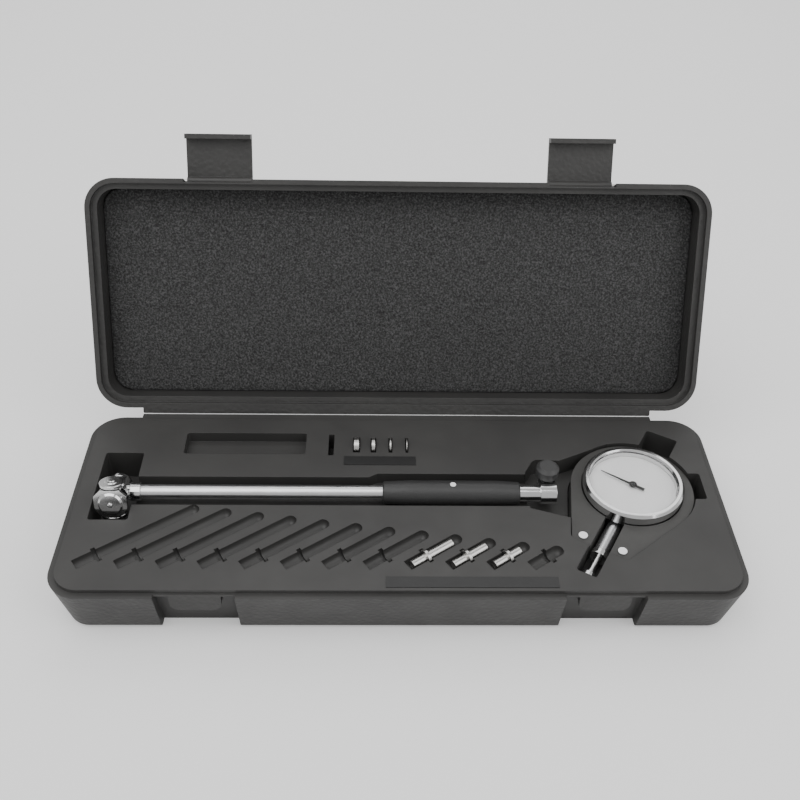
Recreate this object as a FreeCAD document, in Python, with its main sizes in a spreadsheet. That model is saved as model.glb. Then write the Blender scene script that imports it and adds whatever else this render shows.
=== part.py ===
import FreeCAD, Part
import math
import os
from types import SimpleNamespace

from FreeCAD import Placement, Rotation, Vector
from Sketcher import Constraint

# A dial bore gauge set in its fitted case, lid open.
# Frame: +Z up, +X to the right, +Y to the back; origin at the middle of the case's underside.
# The skilled feature is the moulded tray: a drafted shell with its drop-in seats.

doc = FreeCAD.newDocument("BoreGaugeSet")
sheet = doc.addObject("Spreadsheet::Sheet", "Sizes")

SIZES = {
    # case
    "case_width": 368.0, "case_depth": 138.0, "base_height": 36.0, "rim_drop": 2.5,
    "wall_draft": 7.0, "rim_corner": 18.0, "deck_inset": 3.5, "foot_round": 5.0,
    "seam_gap": 0.2, "hinge_reach": 3.6, "hinge_length": 313.0, "hinge_thickness": 3.0,
    "lid_open_angle": 115.3, "lid_height": 26.0, "lid_land": 3.0, "lid_rebate": 3.2,
    "lid_wall": 6.5, "lid_cavity": 21.8, "foam_thickness": 5.0, "foam_gap": 0.4,
    # latches and their catches
    "latch_x": 106.3, "latch_width": 38.0, "latch_reach": 25.0, "latch_plate": 2.8,
    "latch_hook": 8.5, "latch_slack": 0.6, "latch_pivot_in": 2.0, "latch_pivot_up": 11.0,
    "latch_barrel": 5.0, "latch_pin": 2.0, "hook_thickness": 2.7, "pin_fit": 0.05, "seat_fit": 0.03, "recess_width": 42.0, "recess_depth": 6.5,
    "pad_width": 27.0, "pad_drop": 12.5, "pad_setback": 2.5, "lip_thickness": 1.5,
    # recesses of the tray
    "pocket_width": 71.2, "pocket_length": 17.75, "pocket_depth": 7.0, "pocket_x": -90.6,
    "pocket_y": 43.9, "key_width": 3.2, "key_length": 17.9, "key_depth": 12.0, "key_x": -40.0,
    "key_y": 43.0, "channel_slack": 0.3, "seat_gap": 0.6, "head_seat_left": 12.0,
    "head_seat_right": 10.0, "head_seat_front": 21.7, "head_seat_back": 30.9,
    "clamp_seat_start": 73.0, "clamp_seat_depth": 12.0, "spindle_seat_width": 11.5,
    "cap_seat_left": 8.0, "cap_seat_right": 11.0, "finger_notch_reach": 40.7,
    "washer_seat": 12.9, "washer_sink": 1.0, "tube_channel_back": 16.0, "channel_front": -6.0,
    "grip_channel_back": 19.0, "head_pocket_depth": 20.0,
    "seat_width": 7.0, "seat_depth": 4.5, "seat_angle": 35.0, "seat_pitch": 21.8,
    "seat_first_x": -170.9, "seat_y": -49.0, "seat_longest": 72.4, "seat_step": 4.6,
    "seat_groove_at": 12.3, "seat_groove_width": 2.4, "seat_groove_spread": 10.5,
    # anvils and washers
    "shank_d": 5.0, "shank_length": 8.5, "flange_d": 9.0, "flange_width": 1.8, "anvil_d": 5.5,
    "anvil_step": 4.5, "anvil_shortest": 13.7, "anvil_bevel": 0.8,
    "washer_d": 10.0, "washer_bore": 5.2, "washer_row_y": 43.0, "washer_slack": 0.6,
    # labels
    "label_thickness": 0.3,
    # stem of the gauge
    "gauge_y": 4.4, "gauge_sink": 0.5, "tube_d": 8.2, "tube_bore": 4.6, "tube_start": -148.5,
    "tube_end": 10.0, "collar_d": 10.4, "collar_start": -151.0, "collar_end": -145.0,
    "grip_d": 14.0, "grip_end_d": 12.6, "grip_start": -9.6, "grip_end": 68.0,
    "rod_d": 2.5, "rod_fit": 0.1, "rod_end": 70.0, "grip_screw_x": 30.0, "grip_screw_d": 3.4,
    # clamp at the top of the stem
    "neck_d": 9.6, "neck_spigot": 14.0, "neck_end": 89.0, "stem_bore": 8.02, "stem_bore_depth": 16.5,
    "slit_width": 1.0, "slit_length": 15.0, "band_d": 12.4, "band_start": 79.6, "band_end": 88.5,
    "ear_reach": 12.0, "ear_thickness": 3.4, "screw_offset": 8.8, "screw_d": 4.0, "knob_d": 13.0,
    "knob_height": 6.8, "knob_neck": 2.6, "running_gap": 0.2,
    # measuring head
    "head_x": -159.0, "head_tilt": 18.0, "head_d": 15.0, "head_thickness": 12.4,
    "head_front": 6.0, "head_back": 7.0, "head_bore": 5.4, "plunger_d": 5.2, "contact_d": 3.0,
    "contact_reach": 17.0, "crank_arm": 3.2, "crank_thickness": 1.6, "crank_tip": 0.8,
    "crank_pin_d": 1.2, "crank_gap": 0.15, "bridge_width": 18.0, "bridge_front": 15.0,
    "bridge_plate": 2.2, "bridge_half": 8.2, "bridge_arm": 1.6, "bridge_arm_width": 10.0,
    "disc_d": 13.6, "disc_rise": 1.0, "wheel_d": 13.7, "wheel_width": 2.2, "wheel_forward": 8.2,
    "wheel_gap": 0.3, "wheel_pin_d": 2.4, "nut_d": 13.0, "nut_width": 3.4, "hub_d": 7.5, "spring_wire": 0.5,
    # indicator
    "dial_x": 133.8, "dial_y": 10.2, "dial_turn": 29.7, "bezel_d": 57.2, "bezel_top": 4.5,
    "bezel_bottom": -3.7, "case_d": 54.4, "case_back": -15.5, "case_wall": 2.6, "spigot_d": 52.0,
    "spigot_wall": 2.6, "bezel_fit": 0.3, "window_d": 50.6, "window_top": 3.4,
    "window_thickness": 1.4, "face_d": 49.4, "face_thickness": 0.6, "face_level": -0.8,
    "pointer_level": 0.5, "pointer_thickness": 0.4, "pointer_length": 20.0, "pointer_tail": 7.0,
    "pointer_hub_d": 4.4, "pointer_turn": 66.0, "counter_offset_x": 0.0, "counter_offset_y": 9.0,
    "counter_length": 3.6, "stem_d": 8.0, "stem_level": -9.0, "stem_tip": 52.0,
    "spindle_d": 4.0, "spindle_fit": 0.1, "spindle_tip": 64.0, "spindle_top": 24.0,
    "contact_tip": 70.8, "star_d": 9.0, "cap_d": 9.0, "cap_end": 38.5, "ferrule_d": 10.0, "ferrule_start": 49.5,
    "ferrule_end": 53.5, "contact_neck_d": 5.0, "star_start": 66.0, "cap_spigot_d": 6.4,
    "plate_lift": 0.6, "plate_thickness": 1.0, "pinion_d": 2.5, "gear_y": 9.18, "gear_d": 17.28,
    "centre_pinion_d": 2.2, "mesh_gap": 0.1, "arbor_d": 1.0, "pointer_angle": 145.0,
    "guard_radius": 35.0, "guard_top": -2.2, "guard_back": -13.0, "guard_gap": 0.5,
    "guard_flare": 65.5, "guard_lug_x": 11.3, "guard_lug_y": 48.6, "guard_lug_radius": 4.6, "guard_screw_d": 5.0,
}

# Washers: place along the row, thickness, name
WASHERS = ((-25.0, 3.0, "washer_3mm"), (-15.0, 2.0, "washer_2mm"), (-4.9, 1.0, "washer_1mm"),
           (4.8, 0.5, "washer_half_mm"))


class Size:
    """A number together with the sheet formula that gives it."""

    def __init__(self, value, text):
        self.value = float(value)
        self.text = text

    def joined(self, other, sign, value):
        return Size(value, "(%s %s %s)" % (self.text, sign, size(other).text))

    def __add__(self, other):
        return self.joined(other, "+", self.value + size(other).value)

    def __sub__(self, other):
        return self.joined(other, "-", self.value - size(other).value)

    def __mul__(self, other):
        return self.joined(other, "*", self.value * size(other).value)

    def __truediv__(self, other):
        return self.joined(other, "/", self.value / size(other).value)

    def __radd__(self, other):
        return size(other) + self

    def __rsub__(self, other):
        return size(other) - self

    def __rmul__(self, other):
        return size(other) * self

    def __neg__(self):
        return Size(-self.value, "(-%s)" % self.text)


def size(number):
    """number itself if it is a Size, else a Size that holds it"""
    if isinstance(number, Size):
        return number
    return Size(number, "(%s)" % repr(float(number)))


def sine(angle):
    return Size(math.sin(math.radians(angle.value)), "sin(%s * 1 deg)" % angle.text)


def cosine(angle):
    return Size(math.cos(math.radians(angle.value)), "cos(%s * 1 deg)" % angle.text)


def slope(run, rise):
    """the angle whose tangent is run over rise"""
    angle = math.degrees(math.atan2(run.value, rise.value))
    return Size(angle, "atan(%s / %s)" % (run.text, rise.text))


def filled_sheet():
    """write every size into the sheet; give the sizes back by name"""
    sizes = SimpleNamespace()
    for row, (alias, value) in enumerate(SIZES.items(), start=1):
        sheet.set("A%d" % row, alias)
        sheet.set("B%d" % row, repr(value))
        sheet.setAlias("B%d" % row, alias)
        setattr(sizes, alias, Size(value, "Sizes." + alias))
    doc.recompute()
    return sizes


s = filled_sheet()
parts = []


def bind(thing, **sizes):
    """set each property, tied to the sheet where it is a Size"""
    for name, value in sizes.items():
        if isinstance(value, Size):
            setattr(thing, name, value.value)
            thing.setExpression(name, value.text)
        else:
            setattr(thing, name, value)


def put(thing, x=0, y=0, z=0, axis=(0, 0, 1), turn=0):
    """place an object at x, y, z and turn it about an axis by an angle"""
    spot = [size(x), size(y), size(z)]
    thing.Placement = Placement(Vector(*[v.value for v in spot]),
                                Rotation(Vector(*axis), size(turn).value))
    for name, value in zip("xyz", spot):
        thing.setExpression("Placement.Base." + name, value.text)
    if isinstance(turn, Size):
        thing.setExpression("Placement.Rotation.Angle", turn.text)
    return thing


def keep(thing, label):
    """name a finished sub-part"""
    thing.Label = label
    parts.append(thing)
    return thing


# Part primitives, each along X, Y or Z from its start

ALONG = {"X": ((0, 1, 0), 90), "Y": ((1, 0, 0), -90), "Z": ((0, 0, 1), 0)}


def rod(radius, length, x=0, y=0, z=0, along="Z"):
    solid = doc.addObject("Part::Cylinder", "Rod")
    bind(solid, Radius=size(radius), Height=size(length))
    axis, turn = ALONG[along]
    return put(solid, x, y, z, axis, turn)


def block(x_from, x_to, y_from, y_to, z_from, z_to):
    solid = doc.addObject("Part::Box", "Block")
    bind(solid, Length=size(x_to) - x_from, Width=size(y_to) - y_from, Height=size(z_to) - z_from)
    return put(solid, x_from, y_from, z_from)


def fused(*solids):
    whole = doc.addObject("Part::MultiFuse", "Fused")
    whole.Shapes = list(solids)
    return whole


def cut(base, *tools):
    for tool in tools:
        result = doc.addObject("Part::Cut", "Cut")
        result.Base = base
        result.Tool = tool
        base = result
    return base


def common(*solids):
    whole = doc.addObject("Part::MultiCommon", "Common")
    whole.Shapes = list(solids)
    return whole


def group(*solids):
    whole = doc.addObject("Part::Compound", "Group")
    whole.Links = list(solids)
    return whole


# PartDesign bodies and their sketches

def body():
    return doc.addObject("PartDesign::Body", "Body")


def sketch(owner, role="XY_Plane", x=0, y=0, level=0, turn=0):
    """a sketch on one of its body's own planes, moved along the plane and off it"""
    drawing = owner.newObject("Sketcher::SketchObject", "Sketch")
    plane = [f for f in owner.Origin.OriginFeatures if f.Role == role][0]
    drawing.AttachmentSupport = [(plane, "")]
    drawing.MapMode = "FlatFace"
    drawing.AttachmentOffset = Placement(Vector(0, 0, 0), Rotation(Vector(0, 0, 1), size(turn).value))
    for name, value in zip("xyz", (x, y, level)):
        drawing.setExpression("AttachmentOffset.Base." + name, size(value).text)
    if isinstance(turn, Size):
        drawing.setExpression("AttachmentOffset.Rotation.Angle", turn.text)
    return drawing


def hold(drawing, kind, value, *where):
    """one dimension of a sketch, tied to the sheet"""
    number = drawing.addConstraint(Constraint(kind, *where, value.value))
    drawing.setExpression("Constraints[%d]" % number, value.text)


def hold_point(drawing, where, x, y):
    """fix a point of the sketch at x, y"""
    for kind, value, axis in (("DistanceX", size(x), -2), ("DistanceY", size(y), -1)):
        if value.value == 0:
            drawing.addConstraint(Constraint("PointOnObject", *where, axis))
        else:
            hold(drawing, kind, value, -1, 1, *where)


def ring(drawing, x, y, radius):
    """a circle"""
    circle = Part.Circle(Vector(size(x).value, size(y).value, 0), Vector(0, 0, 1), size(radius).value)
    number = drawing.addGeometry(circle)
    hold(drawing, "Radius", size(radius), number)
    hold_point(drawing, (number, 3), x, y)


def corner_arc(before, at, after, radius):
    """the arc that rounds a corner: its two ends along the way, its geometry, its first end"""
    into = (at - before).normalize()
    out = (after - at).normalize()
    turn = math.atan2(into.x * out.y - into.y * out.x, into * out)
    back = radius * math.tan(abs(turn) / 2)
    start = at - into * back
    end = at + out * back
    side = 1 if turn > 0 else -1
    centre = start + Vector(-into.y, into.x, 0) * radius * side
    first, last = (start, end) if side > 0 else (end, start)
    angles = [math.atan2(p.y - centre.y, p.x - centre.x) for p in (first, last)]
    if angles[1] < angles[0]:
        angles[1] += 2 * math.pi
    arc = Part.ArcOfCircle(Part.Circle(centre, Vector(0, 0, 1), radius), *angles)
    return start, end, arc, (1, 2) if side > 0 else (2, 1)


def outline(drawing, corners):
    """a closed outline; each corner is x, y and, where it is rounded, a radius"""
    spots = [Vector(size(c[0]).value, size(c[1]).value, 0) for c in corners]
    radii = [size(c[2]) if len(c) > 2 else None for c in corners]
    count = len(corners)
    bends = []
    for i, spot in enumerate(spots):
        if radii[i]:
            bends.append(corner_arc(spots[i - 1], spot, spots[(i + 1) % count], radii[i].value))
        else:
            bends.append((spot, spot, None, None))
    lines = [drawing.addGeometry(Part.LineSegment(bends[i][1], bends[(i + 1) % count][0]))
             for i in range(count)]
    for i, (x, y) in enumerate((c[0], c[1]) for c in corners):
        before, after = lines[i - 1], lines[i]
        if not radii[i]:
            drawing.addConstraint(Constraint("Coincident", before, 2, after, 1))
            hold_point(drawing, (after, 1), x, y)
            continue
        point = drawing.addGeometry(Part.Point(spots[i]), True)
        arc = drawing.addGeometry(bends[i][2])
        first, last = bends[i][3]
        drawing.addConstraint(Constraint("Tangent", before, 2, arc, first))
        drawing.addConstraint(Constraint("Tangent", arc, last, after, 1))
        drawing.addConstraint(Constraint("PointOnObject", point, 1, before))
        drawing.addConstraint(Constraint("PointOnObject", point, 1, after))
        hold(drawing, "Radius", radii[i], arc)
        hold_point(drawing, (point, 1), x, y)


def oblong(x_from, x_to, y_from, y_to, radius):
    """the corners of a rounded rectangle"""
    return [(x_from, y_from, radius), (x_to, y_from, radius), (x_to, y_to, radius),
            (x_from, y_to, radius)]


def pad(owner, drawing, length, backwards=False, taper=0.0):
    feature = owner.newObject("PartDesign::Pad", "Pad")
    feature.Profile = drawing
    bind(feature, Length=size(length), Reversed=backwards, TaperAngle=taper)
    return feature


def pocket(owner, drawing, depth, upwards=False):
    """cut downwards from the sketch's own level, or upwards"""
    feature = owner.newObject("PartDesign::Pocket", "Pocket")
    feature.Profile = drawing
    bind(feature, Length=size(depth), Reversed=upwards)
    return feature


def groove(owner, drawing):
    """cut a turned hollow about the sketch's own X axis"""
    feature = owner.newObject("PartDesign::Groove", "Groove")
    feature.Profile = drawing
    feature.ReferenceAxis = (drawing, ["H_Axis"])
    bind(feature, Angle=360.0)
    return feature


def rounded_edges(owner, feature, radius, chosen):
    """fillet the edges of a feature that the test picks"""
    doc.recompute()
    names = ["Edge%d" % i for i, edge in enumerate(feature.Shape.Edges, start=1) if chosen(edge)]
    fillet = owner.newObject("PartDesign::Fillet", "Fillet")
    fillet.Base = (feature, names)
    bind(fillet, Radius=size(radius))
    owner.Tip = fillet
    return fillet


def turned(*corners):
    """a piece turned about its own X axis; each corner is its distance along and its radius"""
    owner = body()
    drawing = sketch(owner)
    outline(drawing, corners)
    feature = owner.newObject("PartDesign::Revolution", "Revolution")
    feature.Profile = drawing
    feature.ReferenceAxis = (drawing, ["H_Axis"])
    bind(feature, Angle=360.0)
    return owner


# Levels and half sizes that many pieces share
deck = s.base_height
rim = s.base_height - s.rim_drop
half_width = s.case_width / 2
half_depth = s.case_depth / 2
hinge_y = half_depth + s.hinge_reach


def shell_outline(inset):
    """the case's rounded rectangle, set in from the rim"""
    return oblong(inset - half_width, half_width - inset, inset - half_depth, half_depth - inset,
                  s.rim_corner - inset)


def lid_outline(inset):
    """the same outline in the lid's own frame, whose Y axis starts at the hinge"""
    return oblong(inset - half_width, half_width - inset, inset - half_depth - hinge_y,
                  half_depth - inset - hinge_y, s.rim_corner - inset)


def cut_latch_recess(base, x):
    """the front recess a latch swings into, with its catch pad"""
    back = s.recess_depth - half_depth
    side = sketch(base, "YZ_Plane", level=x + s.recess_width / 2)
    outline(side, [(-half_depth - 2, -1), (back + s.wall_draft, -1), (back, rim - s.lip_thickness),
                   (-half_depth - 2, rim - s.lip_thickness)])
    pocket(base, side, s.recess_width)
    lip = sketch(base, level=rim)
    outline(lip, [(x - s.recess_width / 2, -half_depth - 2), (x + s.recess_width / 2, -half_depth - 2),
                  (x + s.recess_width / 2, s.pad_setback - half_depth),
                  (x - s.recess_width / 2, s.pad_setback - half_depth)])
    pocket(base, lip, s.lip_thickness)
    catch = sketch(base, "XZ_Plane", level=half_depth - s.pad_setback)
    outline(catch, [(x - s.pad_width / 2, rim - 1), (x - s.pad_width / 2, rim - s.pad_drop, 5.0),
                    (x + s.pad_width / 2, rim - s.pad_drop, 5.0), (x + s.pad_width / 2, rim - 1)])
    pad(base, catch, s.recess_depth - s.pad_setback + 1, backwards=True)


def cut_seat(base, x, y, length):
    """one anvil's seat: shank end at the start, groove for the flange, round far end"""
    half = s.seat_width / 2
    spread = s.seat_groove_spread / 2
    start = s.seat_groove_at - s.seat_groove_width / 2
    end = s.seat_groove_at + s.seat_groove_width / 2
    floor = deck - s.seat_depth + half
    walls = sketch(base, x=x, y=y, level=deck, turn=s.seat_angle)
    outline(walls, [(0, -half, 1.0), (start, -half), (start, -spread), (end, -spread), (end, -half),
                    (length, -half, half * 0.96), (length, half, half * 0.96), (end, half),
                    (end, spread), (start, spread), (start, half), (0, half, 1.0)])
    pocket(base, walls, s.seat_depth - half)
    trough = sketch(base, x=x, y=y, level=floor, turn=s.seat_angle)
    outline(trough, [(0, 0), (length, 0), (length, half, half * 0.96), (end, half), (end, spread),
                     (start, spread), (start, half), (0, half)])
    groove(base, trough)


def make_base():
    base = keep(body(), "case_base")
    mouth = sketch(base, level=rim)
    outline(mouth, shell_outline(0))
    shell = pad(base, mouth, rim, backwards=True, taper=-slope(s.wall_draft, rim))
    rounded_edges(base, shell, s.foot_round, lambda edge: edge.BoundBox.ZMax < 0.01)
    top = sketch(base, level=rim)
    outline(top, shell_outline(s.deck_inset))
    pad(base, top, s.rim_drop)
    strip = sketch(base, level=rim)
    outline(strip, oblong(-s.hinge_length / 2, s.hinge_length / 2, half_depth - 4,
                          hinge_y - s.seam_gap, 0.8))
    pad(base, strip, s.hinge_thickness, backwards=True)
    for x in (-s.latch_x, s.latch_x):
        cut_latch_recess(base, x)
    cut_tray(base)
    return base


def cut_box(base, x_from, x_to, y_from, y_to, depth, radius=0.6):
    """a straight-sided recess in the deck"""
    drawing = sketch(base, level=deck)
    outline(drawing, oblong(x_from, x_to, y_from, y_to, radius))
    pocket(base, drawing, depth)


def cut_gauge_seat(base):
    """the channel for the stem and grip, and the deep seat for the head"""
    x = s.head_x
    cut_box(base, x - s.head_seat_left, x + s.head_seat_right, s.gauge_y - s.head_seat_front,
            s.gauge_y + s.head_seat_back, s.head_pocket_depth, 1.5)
    channel = sketch(base, level=deck)
    outline(channel, [(x, s.channel_front), (s.clamp_seat_start + 3, s.channel_front),
                      (s.clamp_seat_start + 3, s.grip_channel_back),
                      (s.grip_start - 3, s.grip_channel_back), (s.grip_start - 8, s.tube_channel_back),
                      (x, s.tube_channel_back)])
    pocket(base, channel, s.gauge_sink + s.grip_d / 2 + s.channel_slack)


def cut_clamp_seat(base):
    """the wide seat round the clamp and its knob, with room for a finger and thumb"""
    seat = sketch(base, level=deck)
    x, y = s.clamp_seat_start, s.gauge_y
    outline(seat, [(x, s.channel_front - 1.5), (x, y + 16), (x + 6, y + 27, 5.0), (x + 21, y + 26),
                   (s.dial_x - 9, s.dial_y + s.guard_radius - 0.2), (s.dial_x, s.dial_y),
                   (s.dial_x - s.guard_radius, s.dial_y - 26)])
    pocket(base, seat, s.clamp_seat_depth)


def cut_dial_seat(base):
    """the seat of the indicator in its guard, drawn in the indicator's own direction"""
    depth = s.channel_slack - s.case_back
    radius = s.guard_radius + s.seat_gap
    flare_x, flare_y = radius * sine(s.guard_flare), -radius * cosine(s.guard_flare)
    foot_x = s.guard_lug_x + s.guard_lug_radius + s.seat_gap
    foot_y = -(s.guard_lug_y + s.guard_lug_radius) - s.seat_gap

    def drawn(corners):
        drawing = sketch(base, x=s.dial_x, y=s.dial_y, level=deck, turn=-s.dial_turn)
        outline(drawing, corners)
        pocket(base, drawing, depth)

    bowl = sketch(base, x=s.dial_x, y=s.dial_y, level=deck)
    ring(bowl, 0, 0, radius)
    pocket(base, bowl, depth)
    drawn([(-flare_x, flare_y), (-foot_x, foot_y, 3.0), (foot_x, foot_y, 3.0), (flare_x, flare_y),
           (0, 5)])
    drawn(oblong(-s.spindle_seat_width / 2, s.spindle_seat_width / 2,
                 -s.contact_tip - 3, foot_y + 5, 1.5))
    drawn(oblong(-s.cap_seat_left, s.cap_seat_right, 20, s.cap_end + 11, 1.5))
    cut_box(base, s.dial_x, s.dial_x + s.finger_notch_reach, s.dial_y - 10.2, s.dial_y + 10.1, depth, 1.5)


def cut_tray(base):
    """the drop-in seats of everything the case carries"""
    x, y = s.pocket_x, s.pocket_y
    cut_box(base, x - s.pocket_width / 2, x + s.pocket_width / 2,
            y - s.pocket_length / 2, y + s.pocket_length / 2, s.pocket_depth, 1.5)
    cut_box(base, s.key_x - s.key_width / 2, s.key_x + s.key_width / 2,
            s.key_y - s.key_length / 2, s.key_y + s.key_length / 2, s.key_depth)
    for x, thickness, _ in WASHERS:
        half = thickness / 2 + s.washer_slack
        cut_box(base, x - half, x + half, s.washer_row_y - s.washer_seat / 2,
                s.washer_row_y + s.washer_seat / 2, s.washer_sink + s.washer_d / 2 + 0.2, 0.3)
    for i in range(12):
        cut_seat(base, s.seat_first_x + s.seat_pitch * i, s.seat_y, s.seat_longest - s.seat_step * i)
    cut_gauge_seat(base)
    cut_clamp_seat(base)
    cut_dial_seat(base)


# Lid, foam and latches, drawn closed in the lid's frame and then opened

def open_lid(thing):
    return put(thing, 0, hinge_y, rim + s.seam_gap, (-1, 0, 0), s.lid_open_angle)


lid_front = -(hinge_y + half_depth)
pivot_y = lid_front + s.latch_pivot_in
pivot_z = s.latch_pivot_up


def make_lid():
    lid = body()
    mouth = sketch(lid)
    outline(mouth, lid_outline(0))
    shell = pad(lid, mouth, s.lid_height, taper=-slope(s.wall_draft, s.lid_height))
    rounded_edges(lid, shell, s.foot_round,
                  lambda edge: edge.BoundBox.ZMin > s.lid_height.value - 0.01)
    strip = sketch(lid)
    outline(strip, oblong(-s.hinge_length / 2, s.hinge_length / 2, -s.hinge_reach - 4, -s.seam_gap, 0.8))
    pad(lid, strip, s.hinge_thickness)
    for inset, depth in ((s.lid_land, s.lid_rebate), (s.lid_wall, s.lid_cavity)):
        hollow = sketch(lid)
        outline(hollow, lid_outline(inset))
        pocket(lid, hollow, depth, upwards=True)
    notches = []
    for x in (-s.latch_x, s.latch_x):
        half = s.latch_width / 2 + s.latch_slack
        notches.append(block(x - half, x + half, lid_front - 1, pivot_y + 0.1,
                             -1, s.lid_height + 1))
        notches.append(block(x - half, x + half, lid_front - 1, pivot_y + s.latch_barrel / 2 + 0.3,
                             pivot_z - s.latch_barrel / 2 - 0.5, s.lid_height + 1))
        notches.append(rod(s.latch_pin / 2 + s.seat_fit, s.latch_width + 8, x - s.latch_width / 2 - 4,
                           pivot_y, pivot_z, "X"))
    keep(open_lid(cut(lid, *notches)), "case_lid")
    foam = body()
    sheet_outline = sketch(foam, level=s.lid_cavity - s.foam_thickness)
    outline(sheet_outline, lid_outline(s.lid_wall + s.foam_gap))
    pad(foam, sheet_outline, s.foam_thickness - 0.1)
    keep(open_lid(foam), "lid_foam")


def make_latch(x, side):
    """plate with its barrel at the pivot and a hook at the far end"""
    left, right = x - s.latch_width / 2, x + s.latch_width / 2
    inner = pivot_z + 0.1
    end = lid_front - s.latch_reach
    plate = block(left, right, end, pivot_y, inner, inner + s.latch_plate)
    hook = block(left, right, end, end + s.hook_thickness, inner + s.latch_plate - s.latch_hook,
                 inner + s.latch_plate)
    barrel = rod(s.latch_barrel / 2, s.latch_width, left, pivot_y, pivot_z, "X")
    bore = rod(s.latch_pin / 2 + s.pin_fit, s.latch_width + 2, left - 1, pivot_y, pivot_z, "X")
    keep(open_lid(cut(fused(plate, hook, barrel), bore)), "latch_" + side)
    pin = rod(s.latch_pin / 2, s.latch_width + 7, left - 3.5, pivot_y, pivot_z, "X")
    keep(open_lid(group(pin)), "latch_pin_" + side)


def make_labels():
    keep(block(-32.2, 9.8, 26, 33, deck, deck + s.label_thickness), "washer_label")
    keep(block(-8, 82, -63.5, -56.5, deck, deck + s.label_thickness), "anvil_label")


# Spare anvils and washers in their seats

def anvil(length):
    return turned((0, 0), (0, s.shank_d / 2, 0.3), (s.shank_length, s.shank_d / 2),
                  (s.shank_length, s.flange_d / 2, 0.2),
                  (s.shank_length + s.flange_width, s.flange_d / 2, 0.2),
                  (s.shank_length + s.flange_width, s.anvil_d / 2),
                  (length - s.anvil_bevel, s.anvil_d / 2), (length, s.anvil_d / 2 - s.anvil_bevel),
                  (length, 0))


def make_spares():
    for steps, number in ((3, 8), (2, 9), (1, 10)):
        piece = anvil(s.anvil_shortest + s.anvil_step * steps)
        shift = s.seat_groove_at - s.shank_length - s.flange_width / 2
        put(piece, s.seat_first_x + s.seat_pitch * number + shift * cosine(s.seat_angle),
            s.seat_y + shift * sine(s.seat_angle),
            deck - s.seat_depth + s.anvil_d / 2 + 0.1, (0, 0, 1), s.seat_angle)
        keep(piece, "anvil_%d" % (35 + 5 * steps))
    for x, thickness, name in WASHERS:
        washer = turned((0, s.washer_bore / 2), (0, s.washer_d / 2, 0.15), (thickness, s.washer_d / 2, 0.15),
                        (thickness, s.washer_bore / 2))
        keep(put(washer, x - size(thickness) / 2, s.washer_row_y, deck - s.washer_sink), name)


# Stem of the gauge, lying along X

axis_z = deck - s.gauge_sink


def on_stem(thing):
    return put(thing, 0, s.gauge_y, axis_z)


def make_stem():
    bore = s.rod_d / 2 + s.rod_fit
    tube = s.tube_d / 2
    socket = tube + s.seat_fit
    keep(on_stem(turned((s.collar_start, bore), (s.collar_start, s.collar_d / 2, 0.4),
                        (s.collar_end, s.collar_d / 2, 0.4), (s.collar_end, socket),
                        (s.tube_start, socket), (s.tube_start, bore))), "collar")
    keep(on_stem(turned((s.tube_start, s.tube_bore / 2), (s.tube_start, tube),
                        (s.tube_end, tube), (s.tube_end, s.tube_bore / 2))), "stem_tube")
    grip = on_stem(turned((s.grip_start, socket), (s.grip_start, s.grip_end_d / 2, 1.2),
                          (s.grip_start + 14, s.grip_d / 2, 60.0), (s.grip_end - 14, s.grip_d / 2, 60.0),
                          (s.grip_end, s.grip_end_d / 2, 1.2), (s.grip_end, socket)))
    head = axis_z + s.grip_d / 2 - 0.1
    hole = rod(s.grip_screw_d / 2 + s.seat_fit, 4, s.grip_screw_x, s.gauge_y, axis_z + tube, "Z")
    keep(cut(grip, hole), "grip")
    keep(group(rod(s.grip_screw_d / 2, head - axis_z - tube - 0.2, s.grip_screw_x, s.gauge_y,
                   axis_z + tube + 0.2, "Z")), "grip_screw")
    length = s.neck_end - s.grip_end
    neck = on_stem(turned((s.grip_end - s.neck_spigot, bore), (s.grip_end - s.neck_spigot, tube),
                          (s.grip_end + s.seat_fit, tube), (s.grip_end + s.seat_fit, s.neck_d / 2),
                          (s.neck_end, s.neck_d / 2, 0.3), (s.neck_end, s.stem_bore / 2),
                          (s.neck_end - s.stem_bore_depth, s.stem_bore / 2),
                          (s.neck_end - s.stem_bore_depth, bore)))
    slit = block(s.neck_end - s.slit_length, s.neck_end + 1, s.gauge_y, s.gauge_y + length,
                 axis_z - s.slit_width / 2, axis_z + s.slit_width / 2)
    keep(cut(neck, slit), "clamp_neck")
    keep(on_stem(turned((s.head_x + crank_end, 0), (s.head_x + crank_end, s.rod_d / 2, 0.2),
                        (s.rod_end, s.rod_d / 2, 0.2), (s.rod_end, 0))), "push_rod")


# The crank turns the contact's travel into the rod's; both meet it at this distance
crank_end = s.crank_arm + s.crank_tip + s.crank_gap


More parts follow.
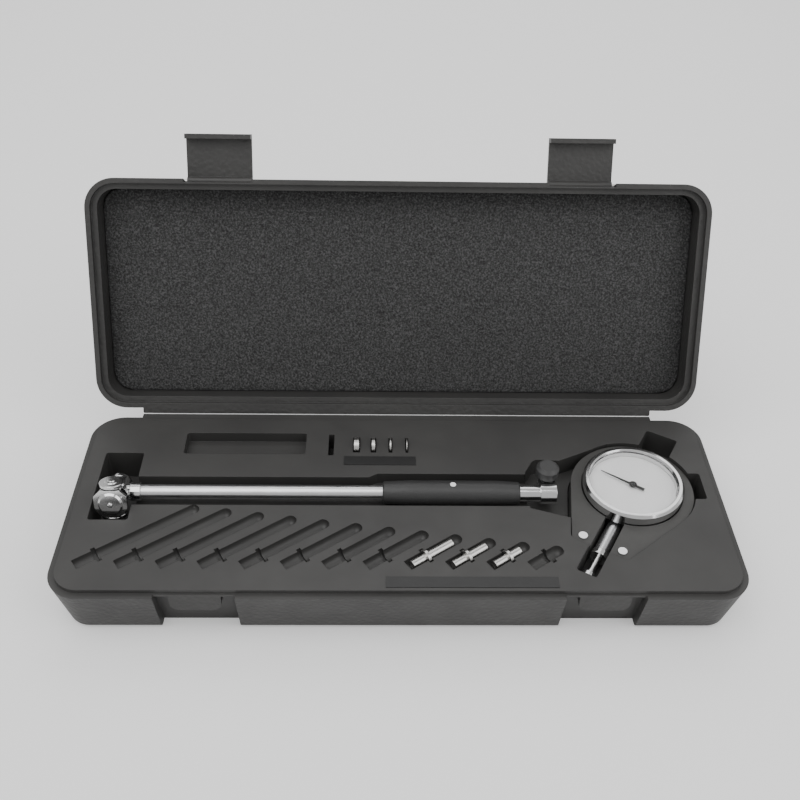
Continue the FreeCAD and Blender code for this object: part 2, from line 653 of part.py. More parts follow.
def make_clamp():
    """split band with two ears, drawn shut by the knob's screw"""
    x_from, x_to = s.band_start, s.band_end
    middle = (x_from + x_to) / 2
    screw_y = s.gauge_y + s.screw_offset
    half_slit = s.slit_width / 2
    ring_part = rod(s.band_d / 2, x_to - x_from, x_from, s.gauge_y, axis_z, "X")
    ears = block(x_from, x_to, s.gauge_y, s.gauge_y + s.ear_reach, axis_z - s.ear_thickness - half_slit,
                 axis_z + s.ear_thickness + half_slit)
    bore = rod(s.neck_d / 2 + s.seat_fit, x_to - x_from + 2, x_from - 1, s.gauge_y, axis_z, "X")
    slit = block(x_from - 1, x_to + 1, s.gauge_y, s.gauge_y + s.ear_reach + 1,
                 axis_z - half_slit, axis_z + half_slit)
    hole = rod(s.screw_d / 2 + s.pin_fit, 20, middle, screw_y, axis_z - 10, "Z")
    keep(cut(fused(ring_part, ears), bore, slit, hole), "clamp_band")
    top = axis_z + s.ear_thickness + half_slit
    knob = turned((-(s.ear_thickness * 2 + s.slit_width), 0), (-(s.ear_thickness * 2 + s.slit_width), s.screw_d / 2),
                  (s.running_gap, s.screw_d / 2), (s.running_gap, s.knob_d * 0.3),
                  (s.knob_neck, s.knob_d * 0.3), (s.knob_neck, s.knob_d / 2, 0.5),
                  (s.knob_neck + s.knob_height - 1.8, s.knob_d / 2),
                  (s.knob_neck + s.knob_height, s.knob_d / 2 - 1.8), (s.knob_neck + s.knob_height, 0))
    keep(put(knob, middle, screw_y, top, (0, -1, 0), 90), "clamp_knob")


# Measuring head, drawn level in its own frame: contact to the front (-Y), stem to +X

def in_head(thing):
    return put(thing, s.head_x, s.gauge_y, axis_z, (-1, 0, 0), s.head_tilt)


def make_head_body():
    half = s.head_thickness / 2
    drum = rod(s.head_d / 2, s.head_front + s.head_back, 0, -s.head_front, 0, "Y")
    slab = block(-s.head_d, s.head_d, -s.head_front, s.head_back, -half, half)
    neck = rod(s.collar_d / 2 - 0.6, s.collar_start - s.head_x, 0, 0, 0, "X")
    arm = s.crank_arm
    well = block(-1.4, arm + 2.6, -arm - 1.8, 1.4, -s.crank_thickness / 2 - 0.2,
                 s.crank_thickness / 2 + 0.2)
    front = rod(s.contact_d / 2 + s.pin_fit, s.head_front, 0, -s.head_front - 0.5, 0, "Y")
    cell = rod(s.plunger_d / 2 + s.pin_fit, s.head_front - arm, 0, 0.8 - s.head_front, 0, "Y")
    back = rod(s.shank_d / 2 + s.seat_fit, s.head_back - 1.8, 0, 2.0, 0, "Y")
    lane = rod(s.rod_d / 2 + s.rod_fit, s.collar_start - s.head_x + 1, 0, 0, 0, "X")
    pin = rod(s.crank_pin_d / 2 + s.seat_fit, 2 * half + 2, arm, -arm, -half - 1, "Z")
    keep(in_head(cut(fused(common(drum, slab), neck), well, front, cell, back, lane, pin)), "head_body")
    keep(in_head(group(rod(s.crank_pin_d / 2, 2 * half - 0.4, arm, -arm, 0.2 - half, "Z"))),
         "crank_pin")


def make_contact():
    """the measuring contact: domed nub, collar that stops it, nose on the crank"""
    stop = s.head_front - 0.9
    nub = turned((-s.contact_reach, 0), (-s.contact_reach, s.contact_d / 2, 0.9),
                 (-stop, s.contact_d / 2), (-stop, 1.9), (0.8 - stop, 1.9), (0.8 - stop, 0.8),
                 (-crank_end, 0.8), (-crank_end, 0))
    keep(in_head(group(put(nub, 0, 0, 0, (0, 0, 1), 90))), "measuring_contact")
    arm, tip, thick = s.crank_arm, s.crank_tip, s.crank_thickness
    tips = [rod(radius, thick, x, y, -thick / 2, "Z")
            for x, y, radius in ((0, -arm, tip), (arm, 0, tip), (arm, -arm, 1.1))]
    arms = [block(0, arm, -arm - 0.5, 0.5 - arm, -thick / 2, thick / 2),
            block(arm - 0.5, arm + 0.5, -arm, 0, -thick / 2, thick / 2)]
    bore = rod(s.crank_pin_d / 2 + s.pin_fit, thick + 2, arm, -arm, -thick / 2 - 1, "Z")
    keep(in_head(cut(fused(*tips, *arms), bore)), "bell_crank")


def make_bridge():
    """the centring bridge: front plate with its disc, and an arm on either side of the head"""
    front, half, wide = s.bridge_front, s.bridge_half, s.bridge_width / 2
    plate = body()
    face = sketch(plate, "XZ_Plane", level=front)
    outline(face, [(-wide, -half, wide * 0.8), (wide, -half, wide * 0.8), (wide, half - 3.6),
                   (wide - 3.6, half), (3.6 - wide, half), (-wide, half - 3.6)])
    pad(plate, face, s.bridge_plate, backwards=True)
    disc = doc.addObject("Part::Cone", "Disc")
    bind(disc, Radius1=s.disc_d / 2, Radius2=s.disc_d / 2 - s.disc_rise, Height=s.disc_rise)
    put(disc, 0, -front, 0, (1, 0, 0), 90)
    arms = [block(-s.bridge_arm_width / 2, s.bridge_arm_width / 2, 0.5 - front, 0.5, low,
                  low + s.bridge_arm) for low in (-half, half - s.bridge_arm)]
    hole = rod(s.contact_d / 2 + 0.2, 6, 0, -front - 2, 0, "Y")
    sight = rod(0.9, 1.2, wide - 2.8, -front - 0.2, half - 3.2, "Y")
    keep(in_head(cut(fused(plate, disc, *arms), hole, sight,
                     *[rod(s.wheel_pin_d / 2, 2 * half + 1, 0, -s.wheel_forward, -half - 0.5, "Z")])),
         "centring_bridge")
    inner = half + s.wheel_gap
    for name, turn in (("upper", 0), ("lower", 180)):
        hub = inner + s.wheel_width
        wheel = turned((inner, s.wheel_pin_d / 2 + s.pin_fit), (inner, s.wheel_d / 2, 0.5),
                       (hub, s.wheel_d / 2, 0.5), (hub, s.hub_d / 2), (hub + 0.4, s.hub_d / 2 - 0.3),
                       (hub + 0.4, s.wheel_pin_d / 2 + s.pin_fit))
        pin = turned((half - s.bridge_arm, 0), (half - s.bridge_arm, s.wheel_pin_d / 2),
                     (hub + 0.6, s.wheel_pin_d / 2), (hub + 0.6, s.wheel_pin_d),
                     (hub + 1.1, s.wheel_pin_d - 0.3), (hub + 1.1, 0))
        for thing, label in ((wheel, "guide_wheel_"), (pin, "wheel_pin_")):
            put(thing, 0, -s.wheel_forward, 0, (0, -1, 0), 90 if turn == 0 else -90)
            keep(in_head(group(thing)), label + name)


def make_head_anvil():
    """the fitted anvil and its lock nut at the back of the head"""
    start = s.head_back - 4.8
    keep(in_head(group(put(anvil(s.anvil_shortest), 0, start, 0, (0, 0, 1), 90))), "anvil_35")
    nut = turned((s.head_back, s.shank_d / 2 + s.seat_fit), (s.head_back, s.nut_d / 2, 0.5),
                 (s.head_back + s.nut_width, s.nut_d / 2, 0.5),
                 (s.head_back + s.nut_width, s.shank_d / 2 + s.seat_fit))
    keep(in_head(group(put(nut, 0, 0, 0, (0, 0, 1), 90))), "lock_nut")


# Indicator: dial axis upright, stem towards the front left

def on_dial(thing, level=0):
    """stand a turned piece on the dial axis, its own X pointing up"""
    return put(thing, s.dial_x, s.dial_y, deck + level, (0, -1, 0), 90)


def on_spindle(thing):
    """lay a turned piece along the spindle, its own X pointing to the contact"""
    return put(thing, s.dial_x, s.dial_y, deck + s.stem_level, (0, 0, -1), s.dial_turn + 90)


def with_dial(thing):
    """turn a piece drawn with the stem towards -Y"""
    return put(thing, s.dial_x, s.dial_y, deck, (0, 0, -1), s.dial_turn)


cavity = s.spigot_d / 2 - s.spigot_wall


def make_indicator_case():
    top = s.face_level - s.face_thickness - 0.3
    seat = s.bezel_bottom - 0.3
    cup = on_dial(turned((s.case_back, 0), (s.case_back, s.case_d / 2, 2.5), (seat, s.case_d / 2),
                         (seat, s.spigot_d / 2), (top, s.spigot_d / 2), (top, cavity),
                         (s.case_back + s.case_wall, cavity, 0.8), (s.case_back + s.case_wall, 0)))
    stem_hole = on_spindle(turned((10, 0), (10, s.stem_d / 2 + s.seat_fit),
                                  (s.case_d, s.stem_d / 2 + s.seat_fit), (s.case_d, 0)))
    cap_hole = on_spindle(turned((-s.case_d, 0), (-s.case_d, s.cap_spigot_d / 2 + s.seat_fit),
                                 (-10, s.cap_spigot_d / 2 + s.seat_fit), (-10, 0)))
    keep(cut(cup, stem_hole, cap_hole), "indicator_case")
    plate_top = s.stem_level + s.spindle_d / 2 + s.plate_lift
    plate = rod(cavity - 1.2, s.plate_thickness, 0, 0, plate_top, "Z")
    floor = s.case_back + s.case_wall
    pillars = [rod(1.6, plate_top - floor, x, y, floor, "Z")
               for x, y in ((17, 6), (14, -10), (-17, -6), (-13, 15))]
    holes = [rod(radius + s.pin_fit, 3, x, y, plate_top - 1, "Z")
             for x, y, radius in ((gear_x, gear_y, s.arbor_d / 2), (0, 0, s.arbor_d / 2))]
    keep(with_dial(cut(fused(plate, *pillars), *holes)), "movement_plate")


# The rack's pinion sits beside the spindle and its wheel drives the pointer's pinion
gear_x = -(s.spindle_d + s.pinion_d) / 2
gear_y = s.gear_y


def make_movement():
    plate_top = s.stem_level + s.spindle_d / 2 + s.plate_lift + s.plate_thickness
    wheel = plate_top + 0.3
    arbor = s.arbor_d / 2
    gear = turned((s.stem_level - 1.2, 0), (s.stem_level - 1.2, s.pinion_d / 2 - s.mesh_gap),
                  (s.stem_level + 1.2, s.pinion_d / 2 - s.mesh_gap), (s.stem_level + 1.2, arbor),
                  (wheel, arbor), (wheel, s.gear_d / 2), (wheel + 0.7, s.gear_d / 2), (wheel + 0.7, 0))
    keep(with_dial(group(put(gear, gear_x, gear_y, 0, (0, -1, 0), 90))), "rack_gear")
    face = s.face_level
    staff = turned((plate_top - 0.9, 0), (plate_top - 0.9, arbor), (wheel - 0.1, arbor),
                   (wheel - 0.1, centre_pinion - s.mesh_gap), (wheel + 0.8, centre_pinion - s.mesh_gap),
                   (wheel + 0.8, arbor), (s.pointer_level, arbor), (s.pointer_level, 0))
    keep(on_dial(staff), "pointer_staff")
    return face


# what the wheel's distance from the dial's centre leaves to the pinion
centre_pinion = s.centre_pinion_d / 2


def make_bezel():
    bore = s.spigot_d / 2 + s.bezel_fit
    face, glass = s.face_d / 2 + 0.1, s.window_d / 2
    keep(on_dial(turned((s.bezel_bottom, bore), (s.bezel_bottom, s.bezel_d / 2, 0.4),
                        (s.bezel_top - 1.6, s.bezel_d / 2, 0.4), (s.bezel_top, s.bezel_d / 2 - 1.2, 0.4),
                        (s.bezel_top, glass + 0.3), (s.window_top + 0.1, glass - 0.5),
                        (s.window_top + 0.1, glass + 0.1),
                        (s.window_top - s.window_thickness, glass + 0.1),
                        (s.window_top - s.window_thickness, face),
                        (s.face_level - s.face_thickness, face),
                        (s.face_level - s.face_thickness, bore))), "bezel")
    window = s.window_top - s.window_thickness
    keep(on_dial(group(rod(glass, s.window_thickness, window, 0, 0, "X"))), "crystal")
    plate = rod(s.face_d / 2, s.face_thickness, 0, 0, s.face_level - s.face_thickness, "Z")
    holes = [rod(s.arbor_d / 2 + 0.3, 3, x, y, s.face_level - 2, "Z")
             for x, y in ((0, 0),)]
    keep(with_dial(cut(plate, *holes)), "dial_face")


def make_pointer():
    """a long slender hand on its hub"""
    hand = body()
    drawing = sketch(hand, level=s.pointer_level)
    tail, tip, hub = s.pointer_tail, s.pointer_length, s.pointer_hub_d / 2
    outline(drawing, [(-tail, -1.0), (0, -0.7), (tip, -0.15), (tip, 0.15), (0, 0.7), (-tail, 1.0)])
    pad(hand, drawing, s.pointer_thickness)
    boss = rod(hub, s.pointer_thickness + 0.4, 0, 0, s.pointer_level, "Z")
    keep(put(fused(hand, boss), s.dial_x, s.dial_y, deck, (0, 0, 1), s.pointer_angle), "main_pointer")


def make_spindle():
    bore = s.spindle_d / 2 + s.spindle_fit
    inner = cavity + 0.2
    stem = s.stem_d / 2
    keep(on_spindle(turned((inner, bore), (inner, stem), (s.stem_tip, stem, 0.4), (s.stem_tip, bore))),
         "indicator_stem")
    keep(on_spindle(turned((s.ferrule_start, stem + s.seat_fit), (s.ferrule_start, s.ferrule_d / 2, 0.5),
                           (s.ferrule_end, s.ferrule_d / 2, 0.5), (s.ferrule_end, bore),
                           (s.stem_tip + s.seat_fit, bore), (s.stem_tip + s.seat_fit, stem + s.seat_fit))),
         "stem_ferrule")
    keep(on_spindle(turned((-s.spindle_top, 0), (-s.spindle_top, s.spindle_d / 2, 0.3),
                           (s.spindle_tip, s.spindle_d / 2), (s.spindle_tip, 0))), "spindle")
    neck = s.contact_neck_d / 2
    keep(on_spindle(turned((s.spindle_tip, 0), (s.spindle_tip, neck), (s.star_start, neck),
                           (s.star_start + 1.2, s.star_d / 2, 0.4), (s.contact_tip - 1.2, s.star_d / 2, 0.4),
                           (s.contact_tip - 0.6, 1.4), (s.contact_tip, 1.0, 0.3), (s.contact_tip, 0))),
         "contact_point")
    cap, root = s.cap_d / 2, s.case_d / 2 + 0.1
    keep(on_spindle(turned((-s.cap_end, 0), (-s.cap_end, cap, 0.8), (-root, cap, 0.2),
                           (-root, s.cap_spigot_d / 2), (-inner, s.cap_spigot_d / 2), (-inner, bore + 0.2),
                           (1.4 - s.cap_end, bore + 0.2), (1.4 - s.cap_end, 0))), "spindle_cap")


def make_guard():
    """the protective surround: a ring round the case, drawn out to two screwed lugs"""
    guard = body()
    radius, depth = s.guard_radius, s.guard_top - s.guard_back
    flare_x, flare_y = radius * sine(s.guard_flare), -radius * cosine(s.guard_flare)
    foot_x = s.guard_lug_x + s.guard_lug_radius
    foot_y = -(s.guard_lug_y + s.guard_lug_radius)
    disc = sketch(guard, level=s.guard_back)
    ring(disc, 0, 0, radius)
    pad(guard, disc, depth)
    horn = sketch(guard, level=s.guard_back)
    outline(horn, [(-flare_x, flare_y), (-foot_x, foot_y, 3.4), (foot_x, foot_y, 3.4),
                   (flare_x, flare_y), (0, 5)])
    pad(guard, horn, depth)
    bowl = sketch(guard, level=s.guard_top)
    ring(bowl, 0, 0, s.bezel_d / 2 + s.guard_gap)
    pocket(guard, bowl, s.guard_top - s.bezel_bottom + 0.5)
    seat = sketch(guard, level=s.guard_top)
    ring(seat, 0, 0, s.case_d / 2 + 0.3)
    pocket(guard, seat, depth)
    throat = sketch(guard, level=s.guard_top)
    outline(throat, [(-s.ferrule_d / 2 - 0.5, 0), (-s.ferrule_d / 2 - 0.5, foot_y - 1),
                     (s.ferrule_d / 2 + 0.5, foot_y - 1), (s.ferrule_d / 2 + 0.5, 0)])
    pocket(guard, throat, depth)
    notch = sketch(guard, level=s.stem_level + s.cap_d / 2 + 0.4)
    outline(notch, [(-s.cap_d / 2 - 0.4, 5), (s.cap_d / 2 + 0.4, 5), (s.cap_d / 2 + 0.4, radius + 1),
                    (-s.cap_d / 2 - 0.4, radius + 1)])
    pocket(guard, notch, depth)
    lugs = sketch(guard, level=s.guard_top)
    for x in (-s.guard_lug_x, s.guard_lug_x):
        ring(lugs, x, -s.guard_lug_y, s.guard_screw_d / 4 + s.seat_fit)
    pocket(guard, lugs, 5)
    keep(with_dial(guard), "indicator_guard")
    heads = [rod(s.guard_screw_d / 2, 1.3, x, -s.guard_lug_y, s.guard_top, "Z")
             for x in (-s.guard_lug_x, s.guard_lug_x)]
    shanks = [rod(s.guard_screw_d / 4, 4.8, x, -s.guard_lug_y, s.guard_top - 4.7, "Z")
              for x in (-s.guard_lug_x, s.guard_lug_x)]
    keep(with_dial(group(fused(heads[0], shanks[0]), fused(heads[1], shanks[1]))), "guard_screws")


def finish():
    """check every object, then write each sub-part's own file"""
    doc.recompute()
    for thing in doc.Objects:
        if "Invalid" in thing.State or "Error" in thing.State:
            raise RuntimeError("%s failed: %s" % (thing.Name, thing.State))
    os.makedirs("parts", exist_ok=True)
    for part in parts:
        shape = part.Shape
        if shape.isNull() or not shape.isValid():
            raise RuntimeError("bad shape: " + part.Label)
        shape.exportStep(os.path.join("parts", part.Label + ".step"))
        print("%s: %d solid(s), %.1f mm3" % (part.Label, len(shape.Solids), shape.Volume))


make_base()
make_lid()
for x, side in ((-s.latch_x, "left"), (s.latch_x, "right")):
    make_latch(x, side)
make_labels()
make_spares()
make_stem()
make_clamp()
make_head_body()
make_contact()
make_bridge()
make_head_anvil()
make_indicator_case()
make_movement()
make_bezel()
make_pointer()
make_spindle()
make_guard()
finish()
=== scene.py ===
import math

import bmesh
import bpy
from mathutils import Matrix, Vector


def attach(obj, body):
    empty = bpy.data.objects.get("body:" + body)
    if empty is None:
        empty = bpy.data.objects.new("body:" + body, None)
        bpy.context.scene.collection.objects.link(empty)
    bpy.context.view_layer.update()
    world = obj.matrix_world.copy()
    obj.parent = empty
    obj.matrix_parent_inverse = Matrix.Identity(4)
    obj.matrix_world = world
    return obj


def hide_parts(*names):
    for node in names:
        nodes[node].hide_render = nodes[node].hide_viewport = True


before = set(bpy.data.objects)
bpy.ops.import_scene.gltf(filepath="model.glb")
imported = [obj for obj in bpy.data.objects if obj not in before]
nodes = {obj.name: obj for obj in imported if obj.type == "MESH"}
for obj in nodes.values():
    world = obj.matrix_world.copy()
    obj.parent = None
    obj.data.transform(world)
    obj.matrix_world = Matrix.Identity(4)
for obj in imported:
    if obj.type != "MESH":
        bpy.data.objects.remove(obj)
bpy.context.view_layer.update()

# Bore gauge set in its case. Metres, the frame's own axes: X right, Y back, Z up.
mm = 0.001

cameraView = {"place": (-0.013817, -0.390508, 0.44676), "pitch": 40.868, "yaw": 1.833,
              "roll": -1.568, "lens": 45.13, "sensor": 36.0}

studio = {"floorSize": 8.0, "floorColour": 0.86, "floorGlow": 0.3, "skyLight": 0.62,
          "key": {"place": (-0.5, -0.35, 1.5), "size": 1.4, "watts": 13.0},
          "fill": {"place": (0.9, -0.5, 0.9), "size": 1.0, "watts": 5.0},
          "back": {"place": (0.1, 1.1, 1.1), "size": 1.2, "watts": 5.0}}


def makeCamera(view):
    pitch, yaw, roll = (math.radians(view[k]) for k in ("pitch", "yaw", "roll"))
    forward = Vector((math.sin(yaw) * math.cos(pitch), math.cos(yaw) * math.cos(pitch),
                      -math.sin(pitch)))
    level = Vector((math.cos(yaw), -math.sin(yaw), 0))
    down = forward.cross(level)
    right = level * math.cos(roll) + down * math.sin(roll)
    up = level * math.sin(roll) - down * math.cos(roll)
    data = bpy.data.cameras.new("camera")
    data.lens, data.sensor_width = view["lens"], view["sensor"]
    data.clip_start, data.clip_end = 0.01, 20
    camera = bpy.data.objects.new("camera", data)
    bpy.context.collection.objects.link(camera)
    turn = Matrix((right, up, -forward)).transposed().to_4x4()
    camera.matrix_world = Matrix.Translation(view["place"]) @ turn
    bpy.context.scene.camera = camera


# ---- material building ----

class Finish:
    """short hand for one material's node tree"""

    def __init__(self, name, colour=(0.5, 0.5, 0.5), **sockets):
        self.material = bpy.data.materials.new(name)
        self.material.use_nodes = True
        self.tree = self.material.node_tree
        self.shader = self.tree.nodes["Principled BSDF"]
        self.shader.inputs["Base Color"].default_value = (*colour, 1)
        for socket, value in sockets.items():
            self.shader.inputs[socket].default_value = value
        self.place = self.tree.nodes.new("ShaderNodeTexCoord").outputs["Object"]

    def node(self, kind, inputs=None, **settings):
        made = self.tree.nodes.new("ShaderNode" + kind)
        for key, value in settings.items():
            setattr(made, key, value)
        for key, value in (inputs or {}).items():
            if isinstance(value, bpy.types.NodeSocket):
                self.tree.links.new(value, made.inputs[key])
            else:
                made.inputs[key].default_value = value
        return made

    def mapped(self, scale=(1, 1, 1), turn=(0, 0, 0), move=(0, 0, 0)):
        return self.node("Mapping", {"Vector": self.place, "Scale": scale, "Location": move,
                                     "Rotation": [math.radians(a) for a in turn]}).outputs[0]

    def noise(self, scale, detail=3.0, rough=0.55, vector=None):
        return self.node("TexNoise", {"Vector": vector or self.place, "Scale": scale,
                                      "Detail": detail, "Roughness": rough}).outputs[0]

    def cells(self, scale, feature="F1", vector=None):
        return self.node("TexVoronoi", {"Vector": vector or self.place, "Scale": scale},
                         feature=feature).outputs["Distance"]

    def ramp(self, factor, *stops):
        made = self.node("ValToRGB", {"Fac": factor})
        stones = made.color_ramp.elements
        while len(stones) < len(stops):
            stones.new(0.5)
        for stone, (spot, colour) in zip(stones, stops):
            stone.position = spot
            stone.color = (*colour, 1) if isinstance(colour, tuple) else (colour,) * 3 + (1,)
        return made.outputs[0]

    def maths(self, operation, a, b=0.0):
        return self.node("Math", {0: a, 1: b}, operation=operation).outputs[0]

    def mix(self, factor, a, b):
        return self.node("Mix", {0: factor, 6: a, 7: b}, data_type="RGBA").outputs[2]

    def rounded(self, radius):
        return self.node("Bevel", {"Radius": radius}, samples=4).outputs[0]

    def bump(self, height, depth, strength=1.0, normal=None):
        inputs = {"Height": height, "Distance": depth, "Strength": strength}
        if normal is not None:
            inputs["Normal"] = normal
        return self.node("Bump", inputs).outputs[0]

    def feed(self, socket, output):
        self.tree.links.new(output, self.shader.inputs[socket])
        return self


def dress(finish, *names):
    for name in names:
        for slot in nodes[name].material_slots:
            slot.material = finish.material


print("camera and studio")
makeCamera(cameraView)


def makeStudio(s):
    bpy.ops.mesh.primitive_plane_add(size=s["floorSize"])
    floor = bpy.context.object
    floor.name = "floor"
    paper = Finish("floorPaper", (s["floorColour"],) * 3, Roughness=0.9)
    seen = paper.node("LightPath").outputs["Is Camera Ray"]
    shade = paper.ramp(paper.noise(3.0), (0.0, s["floorColour"] * 0.985), (1.0, s["floorColour"]))
    paper.feed("Base Color", shade)
    paper.shader.inputs["Emission Color"].default_value = (1, 1, 1, 1)
    paper.feed("Emission Strength", paper.maths("MULTIPLY", seen, s["floorGlow"]))
    floor.data.materials.append(paper.material)
    world = bpy.data.worlds.new("studio")
    bpy.context.scene.world = world
    world.use_nodes = True
    tree = world.node_tree
    path = tree.nodes.new("ShaderNodeLightPath").outputs
    direct = tree.nodes.new("ShaderNodeMath")
    direct.operation = "MAXIMUM"
    tree.links.new(path["Is Camera Ray"], direct.inputs[0])
    tree.links.new(path["Is Transmission Ray"], direct.inputs[1])
    strength = tree.nodes.new("ShaderNodeMapRange")
    tree.links.new(direct.outputs[0], strength.inputs["Value"])
    strength.inputs["To Min"].default_value = s["skyLight"]
    strength.inputs["To Max"].default_value = 1.0
    background = tree.nodes["Background"]
    background.inputs["Color"].default_value = (1, 1, 1, 1)
    tree.links.new(strength.outputs[0], background.inputs["Strength"])
    for name in ("key", "fill", "back"):
        lamp = s[name]
        data = bpy.data.lights.new(name, "AREA")
        data.size, data.energy = lamp["size"], lamp["watts"]
        light = bpy.data.objects.new(name, data)
        light.location = lamp["place"]
        light.rotation_euler = (-Vector(lamp["place"])).to_track_quat("-Z", "Y").to_euler()
        bpy.context.collection.objects.link(light)


makeStudio(studio)

print("plastics")
plastic = {"deck": (0.050, 0.049, 0.047), "wall": (0.040, 0.039, 0.038), "grain": 420.0,
           "grainDepth": 0.00022, "edge": 0.0005}


def makeCasePlastic(name, p, smoothAbove=None):
    """pebbled outside; the tray's own faces stay smooth"""
    f = Finish(name, p["deck"], Roughness=0.46)
    soft = f.noise(22.0, 4.0)
    fine = f.noise(900.0, 2.0)
    f.feed("Base Color", f.mix(f.ramp(soft, (0.35, 0.0), (0.7, 1.0)), (*p["wall"], 1), (*p["deck"], 1)))
    f.feed("Roughness", f.ramp(f.noise(60.0, 4.0), (0.3, 0.40), (0.7, 0.52)))
    pebbles = f.ramp(f.cells(p["grain"], "SMOOTH_F1"), (0.0, 1.0), (0.75, 0.0))
    height = f.maths("ADD", pebbles, f.maths("MULTIPLY", f.noise(1300.0, 2.0), 0.35))
    facing = f.node("NewGeometry").outputs["Normal"]
    up = f.node("SeparateXYZ", {0: facing}).outputs[2]
    place = f.node("SeparateXYZ", {0: f.place}).outputs
    sideways = f.maths("LESS_THAN", f.maths("ABSOLUTE", up), 0.5)
    outside = sideways
    if smoothAbove:
        wide = f.maths("GREATER_THAN", f.maths("ABSOLUTE", place[0]), smoothAbove[0])
        deep = f.maths("GREATER_THAN", f.maths("ABSOLUTE", place[1]), smoothAbove[1])
        outside = f.maths("MULTIPLY", sideways, f.maths("MAXIMUM", wide, deep))
    strength = f.maths("ADD", 0.06, f.maths("MULTIPLY", outside, 0.9))
    f.feed("Normal", f.bump(height, p["grainDepth"], strength, f.bump(fine, 0.00004, 0.5, f.rounded(p["edge"]))))
    return f


casePlastic = makeCasePlastic("casePlastic", plastic, (0.1765, 0.0615))
lidPlastic = makeCasePlastic("lidPlastic", plastic)
dress(casePlastic, "case_base")
dress(lidPlastic, "case_lid", "latch_left", "latch_right")

print("metals")


def makeMetal(name, colour, roughness, streak=(1, 1, 1), edge=0.0002):
    f = Finish(name, colour, Metallic=1.0, Roughness=roughness)
    lines = f.noise(2600.0, 2.0, 0.6, f.mapped(streak))
    f.feed("Roughness", f.ramp(lines, (0.3, roughness * 0.8), (0.7, roughness * 1.25)))
    dim = tuple(c * 0.86 for c in colour)
    f.feed("Base Color", f.mix(f.noise(140.0, 3.0), (*dim, 1), (*colour, 1)))
    f.feed("Normal", f.bump(lines, 0.00001, 0.6, f.rounded(edge)))
    return f


satinTube = makeMetal("satinTube", (0.78, 0.78, 0.79), 0.30, (0.02, 1, 1))
chrome = makeMetal("chrome", (0.80, 0.80, 0.80), 0.12)
steel = makeMetal("steel", (0.66, 0.65, 0.63), 0.28)
dress(satinTube, "stem_tube", "indicator_stem")
dress(chrome, "collar", "clamp_neck", "clamp_band", "head_body", "centring_bridge", "guide_wheel_upper",
      "guide_wheel_lower", "lock_nut", "wheel_pin_upper", "wheel_pin_lower", "measuring_contact", "bezel",
      "grip_screw", "guard_screws", "contact_point", "spindle", "stem_ferrule", "crank_pin", "bell_crank")
dress(steel, "anvil_50", "anvil_45", "anvil_40", "anvil_35", "washer_3mm", "washer_2mm", "washer_1mm",
      "washer_half_mm", "push_rod", "latch_pin_left", "latch_pin_right", "movement_plate", "rack_gear",
      "pointer_staff")

print("blacks")


def makeBlack(name, colour, roughness, grain, depth, edge=0.0003):
    f = Finish(name, colour, Roughness=roughness)
    bumps = f.noise(grain, 3.0)
    f.feed("Roughness", f.ramp(bumps, (0.3, roughness * 0.85), (0.7, roughness * 1.15)))
    bright = tuple(c * 1.35 for c in colour)
    f.feed("Base Color", f.mix(f.noise(90.0, 3.0), (*colour, 1), (*bright, 1)))
    f.feed("Normal", f.bump(bumps, depth, 0.7, f.rounded(edge)))
    return f


gripLeather = makeBlack("gripLeather", (0.030, 0.030, 0.030), 0.42, 900.0, 0.0002)
knobBlack = makeBlack("knobBlack", (0.040, 0.040, 0.040), 0.45, 1500.0, 0.00005)
glossBlack = makeBlack("glossBlack", (0.008, 0.008, 0.008), 0.15, 1500.0, 0.00001)
guardGrey = makeBlack("guardGrey", (0.050, 0.049, 0.047), 0.46, 900.0, 0.00004)
labelBlack = makeBlack("labelBlack", (0.012, 0.012, 0.012), 0.35, 700.0, 0.00001, 0.0001)
pointerBlack = makeBlack("pointerBlack", (0.010, 0.010, 0.010), 0.4, 1500.0, 0.00001, 0.00005)
dress(gripLeather, "grip")
dress(knobBlack, "clamp_knob", "spindle_cap")
dress(glossBlack, "indicator_case")
dress(guardGrey, "indicator_guard")
dress(labelBlack, "washer_label", "anvil_label")
dress(pointerBlack, "main_pointer")

print("dial")
dialWhite = Finish("dialWhite", (0.80, 0.80, 0.80), Roughness=0.5)
dialWhite.feed("Base Color", dialWhite.ramp(dialWhite.noise(60.0), (0.3, 0.78), (0.7, 0.82)))
dialWhite.feed("Normal", dialWhite.bump(dialWhite.noise(1500.0), 0.00001, 0.4))
dress(dialWhite, "dial_face")
glass = Finish("glass", (1, 1, 1), Roughness=0.02, IOR=1.1)
glass.shader.inputs["Transmission Weight"].default_value = 1.0
glass.feed("Roughness", glass.ramp(glass.noise(120.0), (0.4, 0.01), (0.8, 0.03)))
dress(glass, "crystal")

print("foam")
foamPad = {"halfWidth": 0.1771, "front": -0.1347, "back": -0.0105, "low": 0.0168, "high": 0.0217,
           "corner": 0.0111, "soft": 0.0012, "hinge": (0, 0.0726, 0.0337), "open": 115.3}


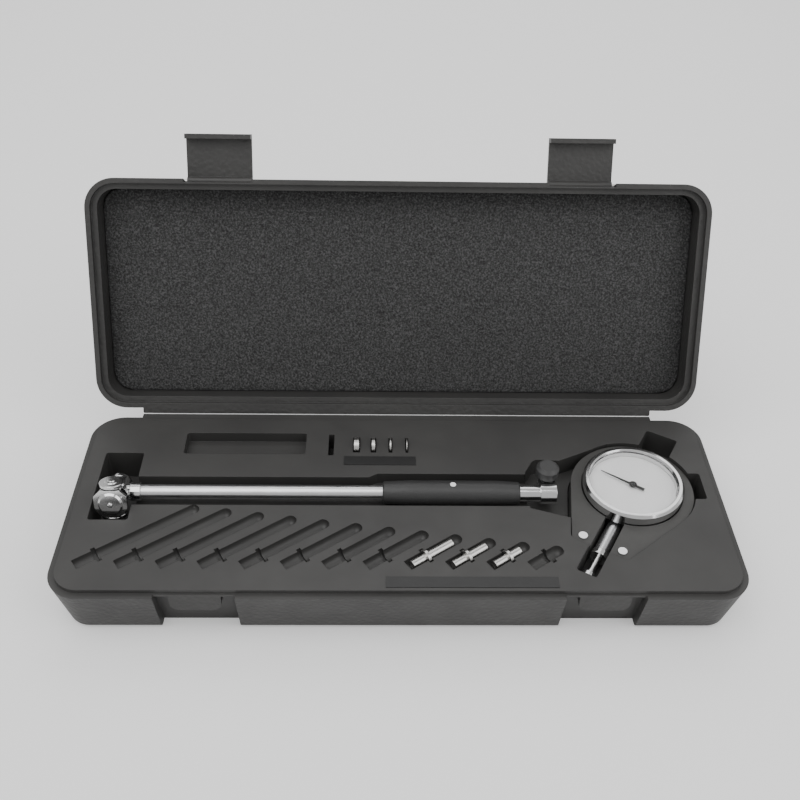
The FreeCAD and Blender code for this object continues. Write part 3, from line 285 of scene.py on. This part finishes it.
def lidPlace(p):
    return Matrix.Translation(p["hinge"]) @ Matrix.Rotation(math.radians(-p["open"]), 4, "X")


def makeFoam(p):
    mesh = bmesh.new()
    ringPoints = []
    for sx, sy, start in ((1, 1, 0), (-1, 1, 90), (-1, -1, 180), (1, -1, 270)):
        cx = sx * (p["halfWidth"] - p["corner"])
        cy = (p["back"] - p["corner"]) if sy > 0 else (p["front"] + p["corner"])
        for i in range(7):
            angle = math.radians(start + 15 * i)
            ringPoints.append((cx + p["corner"] * math.cos(angle), cy + p["corner"] * math.sin(angle)))
    low = [mesh.verts.new((x, y, p["low"])) for x, y in ringPoints]
    high = [mesh.verts.new((x, y, p["high"])) for x, y in ringPoints]
    count = len(low)
    mesh.faces.new(list(reversed(low)))
    mesh.faces.new(high)
    for i in range(count):
        j = (i + 1) % count
        mesh.faces.new((low[i], low[j], high[j], high[i]))
    rim = [e for e in mesh.edges if e.verts[0].co.z == e.verts[1].co.z and abs(e.verts[0].co.z - p["low"]) < 1e-6]
    bmesh.ops.bevel(mesh, geom=rim, offset=p["soft"], segments=4, profile=0.6, affect="EDGES")
    bmesh.ops.transform(mesh, matrix=lidPlace(p), verts=mesh.verts)
    bmesh.ops.recalc_face_normals(mesh, faces=mesh.faces)
    data = bpy.data.meshes.new("lidFoamPad")
    mesh.to_mesh(data)
    mesh.free()
    pad = bpy.data.objects.new("lidFoamPad", data)
    bpy.context.collection.objects.link(pad)
    for face in data.polygons:
        face.use_smooth = True
    return pad


foamGrey = Finish("foamGrey", (0.055, 0.054, 0.052), Roughness=0.95)
cellsFine = foamGrey.noise(900.0, 4.0, 0.7)
# the colour follows the same noise as the bump: it is darker in the pits as painted shade in the pores, and
# lighter on the tops as painted light
foamGrey.feed("Base Color", foamGrey.ramp(cellsFine, (0.36, 0.018), (0.5, 0.05), (0.68, 0.13)))
foamGrey.feed("Normal", foamGrey.bump(foamGrey.ramp(cellsFine, (0.35, 0.0), (0.65, 1.0)), 0.0006, 0.8))
foam = makeFoam(foamPad)
foam.data.materials.append(foamGrey.material)
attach(foam, "lid")
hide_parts("lid_foam")
